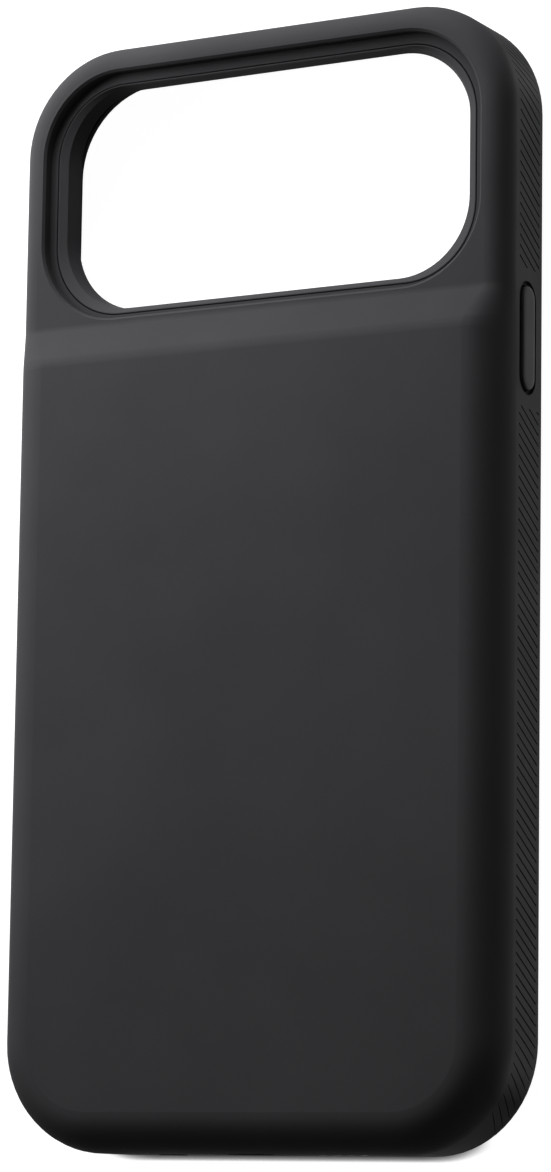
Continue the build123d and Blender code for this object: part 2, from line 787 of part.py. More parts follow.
with BuildPart() as status_switch:
    with BuildSketch(facing_top(switch_face_y)):
        with Locations((-button_x, button_z)):
            Rectangle(switch_width, switch_height)
    extrude(amount=switch_depth)

with BuildPart() as status_lamps:
    with BuildSketch(facing_top(connector_board_foot_y)):
        with Locations(*[(-x, lamp_z) for x in lamp_places]):
            Rectangle(lamp_width, lamp_height)
    extrude(amount=lamp_depth)

with BuildPart() as light_guides:
    with BuildSketch(cross_plane(connector_board_foot_y)):
        with Locations(*[(x, lamp_z) for x in lamp_places]):
            Rectangle(guide_width, guide_height)
    extrude(amount=connector_board_foot_y + half_length)

pieces = {
    "outer_sleeve": outer_sleeve.part,
    "camera_bezel": camera_bezel.part,
    "inner_tray": inner_tray.part,
    "bay_lining": bay_lining.part,
    "chin_cover": chin_cover.part,
    "battery_tape": battery_tape.part,
    "battery_cell": battery_cell.part,
    "protection_board": protection_board.part,
    "battery_tabs": battery_tabs.part,
    "battery_leads": battery_leads.part,
    "control_board": control_board.part,
    "board_screws": board_screws.part,
    "charger_chip": charger_chip.part,
    "power_inductor": power_inductor.part,
    "capacitors": capacitors.part,
    "battery_socket": battery_socket.part,
    "connector_board": connector_board.part,
    "link_pins": link_pins.part,
    "phone_plug_shell": phone_plug_shell.part,
    "phone_plug_core": phone_plug_core.part,
    "plug_collar": plug_collar.part,
    "charging_port_shell": charging_port_shell.part,
    "charging_port_tongue": charging_port_tongue.part,
    "status_button": status_button.part,
    "status_switch": status_switch.part,
    "status_lamps": status_lamps.part,
    "light_guides": light_guides.part,
}
for key_name, (side, key_y, key_length) in long_side_keys.items():
    pieces[key_name] = press_key(side, key_y, key_length)

for piece_name, piece in pieces.items():
    piece.label = piece_name
    export_step(piece, f"parts/{piece_name}.step")
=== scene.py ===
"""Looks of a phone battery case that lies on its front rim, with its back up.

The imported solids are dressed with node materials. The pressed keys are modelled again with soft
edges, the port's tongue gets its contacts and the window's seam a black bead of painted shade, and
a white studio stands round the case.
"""

import logging
import math
from abc import ABC, abstractmethod
from dataclasses import dataclass, field
from enum import Enum
from typing import Callable, ClassVar

import bmesh
import bpy
from mathutils import Matrix, Vector


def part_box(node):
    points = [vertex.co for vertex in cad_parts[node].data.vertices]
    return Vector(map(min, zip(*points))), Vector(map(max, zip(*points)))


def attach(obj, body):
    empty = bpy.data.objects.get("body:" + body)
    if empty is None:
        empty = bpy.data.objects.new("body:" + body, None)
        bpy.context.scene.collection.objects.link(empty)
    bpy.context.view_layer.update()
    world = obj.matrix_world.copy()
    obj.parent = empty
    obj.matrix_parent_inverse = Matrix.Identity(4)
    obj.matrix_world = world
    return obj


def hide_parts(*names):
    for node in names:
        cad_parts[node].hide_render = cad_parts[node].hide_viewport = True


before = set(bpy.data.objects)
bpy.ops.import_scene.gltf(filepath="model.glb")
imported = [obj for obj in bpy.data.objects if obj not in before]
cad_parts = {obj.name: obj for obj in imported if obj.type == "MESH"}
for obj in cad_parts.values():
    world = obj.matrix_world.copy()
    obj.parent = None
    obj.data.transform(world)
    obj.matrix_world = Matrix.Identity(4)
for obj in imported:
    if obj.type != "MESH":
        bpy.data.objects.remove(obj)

MM = 0.001

# Edges that turn by less than this are shaded smooth
SMOOTH_ANGLE = math.radians(40)
# Faces across a small rounded edge
EDGE_STEPS = 2
# Least part of a face's normal along an axis, for a face that looks along it or lies flat across it
LOOKS_ALONG = 0.9
LIES_FLAT = 0.999
# Corners of the faces that a bevel leaves; a cap's own face has more
QUAD_CORNERS = 4
# Levels of ever finer noise in a pattern: in streaks and specks, in tufts and films, in clouds
LOW_DETAIL, FINE_DETAIL, CLOUD_DETAIL = 3.0, 4.0, 5.0
# A Mix node has inputs and an output for each type of data: these are the ones for colours
MIX_SHARE, MIX_FIRST, MIX_SECOND = 0, 6, 7
MIX_RESULT = 2

log = logging.getLogger("battery_case")

Colour = tuple[float, float, float, float]
Range = tuple[float, float]
Place = tuple[float, float, float]
Piece = bpy.types.Object
Scene = bpy.types.Scene
Material = bpy.types.Material
Tree = bpy.types.NodeTree
Socket = bpy.types.NodeSocket
Inputs = dict[str | int, object]


class Body(Enum):
    """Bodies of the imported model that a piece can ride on."""

    CASE = "case"
    SIDE_KEY = "side_key"
    VOLUME_UP_KEY = "volume_up_key"
    VOLUME_DOWN_KEY = "volume_down_key"
    STATUS_BUTTON = "status_button"


class Facing(Enum):
    """Way in which a pressed cap looks out of the case."""

    RIGHT = (1.0, 0.0, 0.0)
    LEFT = (-1.0, 0.0, 0.0)
    FOOT = (0.0, -1.0, 0.0)


def linear(colour: str) -> Colour:
    """Turns an sRGB hex colour into linear light, by the curve of the sRGB standard.

    Args:
        colour: six hex digits after a hash sign.

    Returns:
        Red, green, blue and an alpha of 1.
    """
    parts = [int(colour[start:start + 2], 16) / 255 for start in (1, 3, 5)]
    red, green, blue = [
        part / 12.92 if part <= 0.04045 else ((part + 0.055) / 1.055) ** 2.4 for part in parts
    ]
    return red, green, blue, 1.0


def per_metre(size_mm: float) -> float:
    """Gives the texture scale at which one feature is so many millimetres wide."""
    return 1.0 / (size_mm * MM)


def new_material(name: str) -> Material:
    """Adds a material with an empty node tree.

    Args:
        name: the material's name.

    Returns:
        The new material.
    """
    material = bpy.data.materials.new(name)
    material.use_nodes = True
    material.node_tree.nodes.clear()
    return material


def add_node(
    tree: Tree, kind: str, inputs: Inputs | None = None, **settings: object
) -> bpy.types.Node:
    """Adds one node with its settings, values and links.

    Args:
        tree: node tree that gets the node.
        kind: Blender's name of the node type.
        inputs: values, or sockets to link, by the input's name or number.
        settings: properties of the node.

    Returns:
        The new node.
    """
    node = tree.nodes.new(kind)
    for name, value in settings.items():
        setattr(node, name, value)
    for key, value in (inputs or {}).items():
        if isinstance(value, Socket):
            tree.links.new(value, node.inputs[key])
        else:
            node.inputs[key].default_value = value
    return node


@dataclass(frozen=True)
class Pattern:
    """What the pattern of a finish gives to its shader.

    Attributes:
        share: how far the colour has gone over to the second one.
        height: relief of the surface.
        depth: what that relief measures, in mm.
        dullness: where the surface is smoother or duller, if the pattern breaks up its gloss.
        inputs: further inputs of the shader, by name.
    """

    share: Socket
    height: Socket
    depth: float
    dullness: Socket | None = None
    inputs: Inputs = field(default_factory=dict)


@dataclass(frozen=True)
class Finish(ABC):
    """A finish: a material's two colours and its gloss, and the pattern that its surface has.

    Attributes:
        name: the material's name.
        colour: main colour.
        second_colour: colour that the pattern drifts to.
        roughness: from 0 for polished to 1 for dull.
        ior: refractive index.
        metallic: 1 for a metal.
        gloss_spread: how far the pattern takes the roughness down and up, where it does.
    """

    name: str
    colour: str
    second_colour: str
    roughness: float
    ior: float = 1.5
    metallic: float = 0.0
    gloss_spread: Range = (0.0, 0.0)

    def make(self) -> Material:
        """Builds the material, once for all the nodes that share it.

        Returns:
            A node material that reads Object coordinates.
        """
        made = bpy.data.materials.get(self.name)
        if made is not None:
            return made
        material = new_material(self.name)
        tree = material.node_tree
        place = add_node(tree, "ShaderNodeTexCoord").outputs["Object"]
        pattern = self.pattern(tree, place)
        colour = add_node(
            tree,
            "ShaderNodeMix",
            {
                MIX_SHARE: pattern.share,
                MIX_FIRST: linear(self.colour),
                MIX_SECOND: linear(self.second_colour),
            },
            data_type="RGBA",
        )
        relief = add_node(
            tree, "ShaderNodeBump", {"Height": pattern.height, "Distance": pattern.depth * MM}
        )
        inputs: Inputs = {
            "Base Color": colour.outputs[MIX_RESULT],
            "Roughness": self.roughness,
            "IOR": self.ior,
            "Metallic": self.metallic,
            "Normal": relief.outputs["Normal"],
        }
        if pattern.dullness is not None:
            down, up = self.gloss_spread
            roughness = add_node(
                tree,
                "ShaderNodeMapRange",
                {
                    "Value": pattern.dullness,
                    "To Min": self.roughness - down,
                    "To Max": self.roughness + up,
                },
            )
            inputs["Roughness"] = roughness.outputs[0]
        inputs.update(pattern.inputs)
        shader = add_node(tree, "ShaderNodeBsdfPrincipled", inputs)
        add_node(tree, "ShaderNodeOutputMaterial", {"Surface": shader.outputs["BSDF"]})
        return material

    @abstractmethod
    def pattern(self, tree: Tree, place: Socket) -> Pattern:
        """Adds the nodes of the surface's pattern.

        Args:
            tree: node tree that gets them.
            place: Object coordinates in metres.

        Returns:
            What they give to the shader.
        """


@dataclass(frozen=True)
class SoftTouch(Finish):
    """Moulded TPU with a soft-touch skin: nearly black and very dull, with a cloudy bloom.

    Hands rub the skin a little smoother along the two long sides.

    Attributes:
        gloss: share of the mirror-like light that such a skin still gives back.
        rubbed_roughness: roughness on the long sides.
        rubbed_from: distance from the case's middle line, in mm, where the rubbing begins.
        rubbed_to: distance in mm where it is complete.
        cloud_mm: width of the cloudy patches.
        cloud_range: part of the noise over which the colour drifts.
        patch_mm: width of the duller and smoother patches.
        patch_spread: how far their roughness lies apart.
        grain_mm: grit of the mould; drawn coarser than the real 0.05 mm, so that it shows.
        grain_depth: height of the grit in mm.
    """

    gloss: float = 0.05
    rubbed_roughness: float = 0.46
    rubbed_from: float = 38.6
    rubbed_to: float = 40.6
    cloud_mm: float = 26.0
    cloud_range: Range = (0.3, 0.7)
    patch_mm: float = 8.0
    patch_spread: float = 0.16
    grain_mm: float = 0.28
    grain_depth: float = 0.007

    def pattern(self, tree: Tree, place: Socket) -> Pattern:
        """Adds the skin's cloudy bloom, its duller and rubbed parts and its mould grain.

        Args:
            tree: node tree that gets the nodes.
            place: Object coordinates in metres.

        Returns:
            The pattern, with its own roughness.
        """
        cloud = add_node(
            tree,
            "ShaderNodeTexNoise",
            {"Vector": place, "Scale": per_metre(self.cloud_mm), "Detail": CLOUD_DETAIL},
        )
        low, high = self.cloud_range
        bloom = add_node(
            tree,
            "ShaderNodeMapRange",
            {"Value": cloud.outputs["Fac"], "From Min": low, "From Max": high},
        )
        patches = add_node(
            tree,
            "ShaderNodeTexNoise",
            {"Vector": place, "Scale": per_metre(self.patch_mm), "Detail": FINE_DETAIL},
        )
        across = add_node(tree, "ShaderNodeSeparateXYZ", {"Vector": place}).outputs["X"]
        aside = add_node(tree, "ShaderNodeMath", {0: across}, operation="ABSOLUTE")
        rubbed = add_node(
            tree,
            "ShaderNodeMapRange",
            {
                "Value": aside.outputs[0],
                "From Min": self.rubbed_from * MM,
                "From Max": self.rubbed_to * MM,
                "To Min": self.roughness - self.patch_spread / 2,
                "To Max": self.rubbed_roughness - self.patch_spread / 2,
            },
        )
        roughness = add_node(
            tree,
            "ShaderNodeMath",
            {0: patches.outputs["Fac"], 1: self.patch_spread, 2: rubbed.outputs[0]},
            operation="MULTIPLY_ADD",
        )
        grain = add_node(
            tree, "ShaderNodeTexNoise", {"Vector": place, "Scale": per_metre(self.grain_mm)}
        )
        return Pattern(
            share=bloom.outputs[0],
            height=grain.outputs["Fac"],
            depth=self.grain_depth,
            inputs={"Roughness": roughness.outputs[0], "Specular IOR Level": self.gloss},
        )


@dataclass(frozen=True)
class MouldedPlastic(Finish):
    """Injection moulded plastic from a spark eroded mould: an even, fine and slightly shiny grit.

    Attributes:
        gloss: share of the mirror-like light that it gives back; a clean polished plastic has 0.5.
        drift_mm: width of the patches over which the colour drifts.
        grit_mm: width of the grit; drawn coarser than the real 0.03 mm, so that it shows.
        grit_depth: height of the grit in mm.
    """

    gloss_spread: Range = (0.12, 0.12)
    gloss: float = 0.5
    drift_mm: float = 12.0
    grit_mm: float = 0.22
    grit_depth: float = 0.006

    def pattern(self, tree: Tree, place: Socket) -> Pattern:
        """Adds a slow drift of the colour, and the grit that breaks up the gloss.

        Args:
            tree: node tree that gets the nodes.
            place: Object coordinates in metres.

        Returns:
            The pattern.
        """
        drift = add_node(
            tree, "ShaderNodeTexNoise", {"Vector": place, "Scale": per_metre(self.drift_mm)}
        )
        grit = add_node(
            tree, "ShaderNodeTexNoise", {"Vector": place, "Scale": per_metre(self.grit_mm)}
        )
        return Pattern(
            share=drift.outputs["Fac"],
            height=grit.outputs["Fac"],
            depth=self.grit_depth,
            dullness=grit.outputs["Fac"],
            inputs={"Specular IOR Level": self.gloss},
        )


@dataclass(frozen=True)
class Microfibre(Finish):
    """Microfibre lining, flocked and pressed flat: short fibres that lie in cloudy patches.

    Attributes:
        fibre_mm: width of a tuft of fibres; single fibres are too fine to show.
        fibre_squeeze: width of a tuft by its length, which lies along Y.
        nap_depth: height of a tuft in mm.
        patch_mm: width of the brushed patches.
        patch_range: part of the two noises' sum over which the colour drifts.
        sheen: light that the fibres' tips catch at the edge.
        sheen_roughness: how softly they do.
        gloss: share of the mirror-like light that the cloth gives back.
    """

    fibre_mm: float = 0.35
    fibre_squeeze: float = 0.35
    nap_depth: float = 0.06
    patch_mm: float = 14.0
    patch_range: Range = (0.7, 1.3)
    sheen: float = 0.3
    sheen_roughness: float = 0.5
    gloss: float = 0.1

    def pattern(self, tree: Tree, place: Socket) -> Pattern:
        """Adds the brushed patches, the tufts and a sheen at the edge.

        Args:
            tree: node tree that gets the nodes.
            place: Object coordinates in metres.

        Returns:
            The pattern, with the cloth's sheen.
        """
        brushed = add_node(
            tree, "ShaderNodeMapping", {"Vector": place, "Scale": (1.0, self.fibre_squeeze, 1.0)}
        )
        tufts = add_node(
            tree,
            "ShaderNodeTexNoise",
            {
                "Vector": brushed.outputs[0],
                "Scale": per_metre(self.fibre_mm),
                "Detail": FINE_DETAIL,
            },
        )
        patches = add_node(
            tree,
            "ShaderNodeTexNoise",
            {"Vector": place, "Scale": per_metre(self.patch_mm), "Detail": LOW_DETAIL},
        )
        both = add_node(
            tree,
            "ShaderNodeMath",
            {0: tufts.outputs["Fac"], 1: patches.outputs["Fac"]},
            operation="ADD",
        )
        low, high = self.patch_range
        share = add_node(
            tree,
            "ShaderNodeMapRange",
            {"Value": both.outputs[0], "From Min": low, "From Max": high},
        )
        return Pattern(
            share=share.outputs[0],
            height=tufts.outputs["Fac"],
            depth=self.nap_depth,
            inputs={
                "Sheen Weight": self.sheen,
                "Sheen Roughness": self.sheen_roughness,
                "Specular IOR Level": self.gloss,
            },
        )


@dataclass(frozen=True)
class DrawnMetal(Finish):
    """Metal sheet or wire, drawn or rolled: fine streaks along the way it was drawn.

    Attributes:
        streak_mm: width of a streak; drawn coarser than the real ones, so that it shows.
        streak_depth: depth of a streak in mm.
        stretch: how much longer than wide a streak is, along Y.
    """

    metallic: float = 1.0
    gloss_spread: Range = (0.15, 0.18)
    streak_mm: float = 0.12
    streak_depth: float = 0.004
    stretch: float = 14.0

    def pattern(self, tree: Tree, place: Socket) -> Pattern:
        """Adds the streaks to the colour, the gloss and the surface.

        Args:
            tree: node tree that gets the nodes.
            place: Object coordinates in metres.

        Returns:
            The pattern.
        """
        drawn = add_node(
            tree, "ShaderNodeMapping", {"Vector": place, "Scale": (1.0, 1.0 / self.stretch, 1.0)}
        )
        streaks = add_node(
            tree,
            "ShaderNodeTexNoise",
            {
                "Vector": drawn.outputs[0],
                "Scale": per_metre(self.streak_mm),
                "Detail": LOW_DETAIL,
            },
        ).outputs["Fac"]
        return Pattern(streaks, streaks, self.streak_depth, streaks)


@dataclass(frozen=True)
class PouchFoil(Finish):
    """Aluminium laminate of a pouch cell: a dull silver skin with shallow crinkles.

    Attributes:
        crinkle_mm: spacing of the crinkles.
        crinkle_depth: height of a crinkle in mm.
        film_mm: width of the patches in the dull film on the foil.
    """

    metallic: float = 1.0
    gloss_spread: Range = (0.15, 0.2)
    crinkle_mm: float = 5.0
    crinkle_depth: float = 0.12
    film_mm: float = 1.5

    def pattern(self, tree: Tree, place: Socket) -> Pattern:
        """Adds the crinkles and the dull film on the foil.

        Args:
            tree: node tree that gets the nodes.
            place: Object coordinates in metres.

        Returns:
            The pattern.
        """
        crinkles = add_node(
            tree,
            "ShaderNodeTexVoronoi",
            {"Vector": place, "Scale": per_metre(self.crinkle_mm)},
            feature="SMOOTH_F1",
        )
        film = add_node(
            tree,
            "ShaderNodeTexNoise",
            {"Vector": place, "Scale": per_metre(self.film_mm), "Detail": FINE_DETAIL},
        ).outputs["Fac"]
        return Pattern(film, crinkles.outputs["Distance"], self.crinkle_depth, film)


@dataclass(frozen=True)
class CircuitBoard(Finish):
    """Glass fibre board under solder mask: tracks show through as paler raised lines.

    Attributes:
        track_mm: unit of the tracks' layout.
        track_width: width of a track, in such units.
        track_length: length of a field between tracks, in such units.
        track_spacing: spacing of the tracks, in such units.
        track_depth: height of a track in mm.
        weave_mm: spacing of the glass threads.
        weave_share: how much of the paler colour the threads show.
    """

    track_mm: float = 1.1
    track_width: float = 0.12
    track_length: float = 3.4
    track_spacing: float = 0.9
    track_depth: float = 0.03
    weave_mm: float = 0.4
    weave_share: float = 0.3

    def pattern(self, tree: Tree, place: Socket) -> Pattern:
        """Adds the tracks and the weave of the board under the mask.

        Args:
            tree: node tree that gets the nodes.
            place: Object coordinates in metres.

        Returns:
            The pattern.
        """
        tracks = add_node(
            tree,
            "ShaderNodeTexBrick",
            {
                "Vector": place,
                "Scale": per_metre(self.track_mm),
                "Mortar Size": self.track_width,
                "Brick Width": self.track_length,
                "Row Height": self.track_spacing,
            },
        ).outputs["Fac"]
        weave = add_node(
            tree, "ShaderNodeTexNoise", {"Vector": place, "Scale": per_metre(self.weave_mm)}
        )
        share = add_node(
            tree,
            "ShaderNodeMath",
            {0: weave.outputs["Fac"], 1: self.weave_share, 2: tracks},
            operation="MULTIPLY_ADD",
            use_clamp=True,
        )
        return Pattern(share.outputs[0], tracks, self.track_depth)


@dataclass(frozen=True)
class LeadJacket(Finish):
    """Silicone jackets of the battery's two leads, each of its own colour, with a rubbery gloss.

    Attributes:
        split_x_mm: place between the leads.
        dust_mm: width of the specks of dust.
        dust_depth: height of a speck in mm.
    """

    gloss_spread: Range = (0.12, 0.15)
    split_x_mm: float = -14.0
    dust_mm: float = 0.5
    dust_depth: float = 0.004

    def pattern(self, tree: Tree, place: Socket) -> Pattern:
        """Colours each lead by its side, with a little dust.

        Args:
            tree: node tree that gets the nodes.
            place: Object coordinates in metres.

        Returns:
            The pattern.
        """
        across = add_node(tree, "ShaderNodeSeparateXYZ", {"Vector": place}).outputs["X"]
        second = add_node(
            tree, "ShaderNodeMath", {0: across, 1: self.split_x_mm * MM}, operation="GREATER_THAN"
        )
        dust = add_node(
            tree,
            "ShaderNodeTexNoise",
            {"Vector": place, "Scale": per_metre(self.dust_mm), "Detail": LOW_DETAIL},
        ).outputs["Fac"]
        return Pattern(second.outputs[0], dust, self.dust_depth, dust)


@dataclass(frozen=True)
class SinteredBody(Finish):
    """Pressed and fired body, as of ferrite, ceramic or filled epoxy: dull, with speckled grains.

    Attributes:
        grain_mm: size of a grain.
        grain_depth: height of a grain in mm.
        grain_falloff: how quickly the second colour fades from a grain's edge to its middle.
    """

    grain_mm: float = 0.18
    grain_depth: float = 0.01
    grain_falloff: float = 2.0

    def pattern(self, tree: Tree, place: Socket) -> Pattern:
        """Adds the grains to the colour and the surface.

        Args:
            tree: node tree that gets the nodes.
            place: Object coordinates in metres.

        Returns:
            The pattern.
        """
        grains = add_node(
            tree, "ShaderNodeTexVoronoi", {"Vector": place, "Scale": per_metre(self.grain_mm)}
        ).outputs["Distance"]
        share = add_node(
            tree,
            "ShaderNodeMath",
            {0: grains, 1: self.grain_falloff},
            operation="POWER",
            use_clamp=True,
        )
        return Pattern(share.outputs[0], grains, self.grain_depth)


@dataclass(frozen=True)
class ClearResin(Finish):
    """Clear or milky resin, cast or moulded: lets light through, with faint flow lines.

    Attributes:
        transmission: share of the light that passes.
        flow_mm: spacing of the flow lines.
        flow_depth: height of a flow line in mm.
    """

    gloss_spread: Range = (0.08, 0.12)
    transmission: float = 0.9
    flow_mm: float = 0.6
    flow_depth: float = 0.01

    def pattern(self, tree: Tree, place: Socket) -> Pattern:
        """Lets light through, and adds the flow lines.

        Args:
            tree: node tree that gets the nodes.
            place: Object coordinates in metres.

        Returns:
            The pattern, with what passes through.
        """
        flow = add_node(
            tree, "ShaderNodeTexNoise", {"Vector": place, "Scale": per_metre(self.flow_mm)}
        ).outputs["Fac"]
        through: Inputs = {"Transmission Weight": self.transmission}
        return Pattern(flow, flow, self.flow_depth, flow, through)


# Black TPU under a soft-touch coat: a dull velvety grey in the light, no sharp highlight
SLEEVE_SKIN = SoftTouch("tpu_soft_touch_black", "#333335", "#38383a", 0.8)
# The same TPU from a smoother mould: the caps give back a little more of the light from the side
KEY_SKIN = SoftTouch(
    "tpu_smooth_black", "#333335", "#38383a", 0.45, gloss=0.095, rubbed_roughness=0.45
)
# Polycarbonate ring in the window: a plain black with hardly any shine
BEZEL_PLASTIC = MouldedPlastic(
    "polycarbonate_black", "#39393b", "#3e3e40", 0.6, ior=1.58, gloss=0.012
)
# Bead in the seam round that ring, black and dull: painted shade, so that the slit between sleeve
# and ring draws a fine dark line
SEAM_SHADE_BLACK = MouldedPlastic("seam_shade_black", "#09090a", "#0e0e0f", 0.6, ior=1.41, gloss=0.02)
# Glass filled nylon of the inner mouldings: dark grey and dull
INNER_PLASTIC = MouldedPlastic("nylon_glass_filled_black", "#202022", "#29292b", 0.5, ior=1.53)
# Contact carriers of liquid crystal polymer: black and fairly smooth
CARRIER_PLASTIC = MouldedPlastic("lcp_black", "#17171a", "#1f1f22", 0.35)
# Nylon socket in its natural colour: a warm ivory with a faint shine
IVORY_PLASTIC = MouldedPlastic("nylon_natural_ivory", "#e4dcc4", "#d8cfb4", 0.45)
# Acrylic foam tape, white and matt with open pores
TAPE_FOAM = MouldedPlastic("acrylic_foam_white", "#e6e6e2", "#d6d6d0", 0.7, grit_depth=0.03)
# Microfibre that the phone's back lies on: a soft mottled grey
LINING_CLOTH = Microfibre("microfibre_grey", "#3d3d41", "#58585c", 0.85)
# Aluminium laminate round the cell: a dull silver
CELL_FOIL = PouchFoil("aluminium_laminate", "#c6c8ca", "#a3a5a8", 0.36)
# Glass fibre circuit board under a glossy green mask
BOARD_MASK = CircuitBoard("fr4_green_mask", "#1d4a30", "#2f6b45", 0.35)
# Pure nickel strip of the cell's tabs: warm grey, rolled
NICKEL_STRIP = DrawnMetal("nickel_rolled", "#b9b4a8", "#a39e92", 0.3)
# Stainless shells of the plug and the port: deep drawn, bright
DRAWN_STEEL = DrawnMetal("stainless_drawn", "#b4b6ba", "#8c8c8e", 0.24)
# Zinc plated screws and the switch's can: a cooler and duller grey
PLATED_STEEL = DrawnMetal("zinc_plated_steel", "#a9acb0", "#8c8c8e", 0.34, stretch=1.0)
# Gold flashed brass of pins and contacts: a bright warm yellow
GILT_BRASS = DrawnMetal("gold_flashed_brass", "#d9b25c", "#c39a45", 0.25)
# Silicone jackets of the leads: rubbery red and black
LEAD_SILICONE = LeadJacket("silicone_red_and_black", "#a51f1c", "#1b1b1c", 0.45)
# Epoxy of the charger chip: black with a glitter of filler
CHIP_EPOXY = SinteredBody("epoxy_filled_black", "#1c1c1e", "#4c4c4e", 0.55)
# Ferrite of the inductor: a dull iron grey
COIL_FERRITE = SinteredBody("ferrite_grey", "#3a3a3d", "#5c5c60", 0.6)
# Ceramic of the chip capacitors: tan and smooth
CAPACITOR_CERAMIC = SinteredBody("ceramic_tan", "#a98c68", "#bfa27c", 0.4)
# Phosphor resin of the charge lamps: milky yellow
LAMP_RESIN = ClearResin("phosphor_resin_yellow", "#e9dc8a", "#e2d27a", 0.3, transmission=0.15)
# Acrylic of the light guides: clear, with a bright edge
GUIDE_ACRYLIC = ClearResin("acrylic_clear", "#f2f4f5", "#eceff0", 0.12, ior=1.49)


def deselect_all() -> None:
    """Leaves nothing selected, so that an operator acts on the new piece alone."""
    if bpy.context.mode != "OBJECT":
        bpy.ops.object.mode_set(mode="OBJECT")
    bpy.ops.object.select_all(action="DESELECT")


def name_new(name: str) -> Piece:
    """Names the object that an operator has just added.

    Args:
        name: name of the object and of its mesh.

    Returns:
        The object, selected and active.
    """
    piece = bpy.context.object
    piece.name = name
    piece.data.name = name
    return piece


def add_block(name: str, size: Vector) -> Piece:
    """Adds a block round the origin and applies its size.

    Args:
        name: the piece's name.
        size: its sides in metres.

    Returns:
        The new object, selected and active.
    """
    deselect_all()
    bpy.ops.mesh.primitive_cube_add(size=1.0)
    block = name_new(name)
    block.scale = size
    bpy.ops.object.transform_apply(location=False, rotation=False, scale=True)
    return block


def select_faces(piece: Piece, wanted: Callable[[bmesh.types.BMFace], bool]) -> None:
    """Selects faces of the piece in edit mode.

    Args:
        piece: object in edit mode.
        wanted: test on a face.
    """
    bpy.ops.mesh.select_all(action="DESELECT")
    mesh = bmesh.from_edit_mesh(piece.data)
    for face in filter(wanted, mesh.faces):
        face.select_set(True)
    bmesh.update_edit_mesh(piece.data)


def select_points(piece: Piece, wanted: Callable[[Vector], bool]) -> None:
    """Selects points of the piece in edit mode by their place.

    Args:
        piece: object in edit mode.
        wanted: test on a point's place.
    """
    bpy.ops.mesh.select_all(action="DESELECT")
    mesh = bmesh.from_edit_mesh(piece.data)
    for point in mesh.verts:
        if wanted(point.co):
            point.select_set(True)
    mesh.select_flush(True)
    bmesh.update_edit_mesh(piece.data)


def apply_modifier(piece: Piece, kind: str, **settings: object) -> None:
    """Shapes the active piece with a modifier and applies it.

    Args:
        piece: the active object.
        kind: Blender's name of the modifier type.
        settings: properties of the modifier.
    """
    modifier = piece.modifiers.new(kind.lower(), kind)
    for name, value in settings.items():
        setattr(modifier, name, value)
    bpy.ops.object.modifier_apply(modifier=modifier.name)


def give_material(piece: Piece, material: Material) -> None:
    """Makes a piece of one material all over.

    Args:
        piece: the piece.
        material: what it is made of.
    """
    piece.data.materials.clear()
    piece.data.materials.append(material)


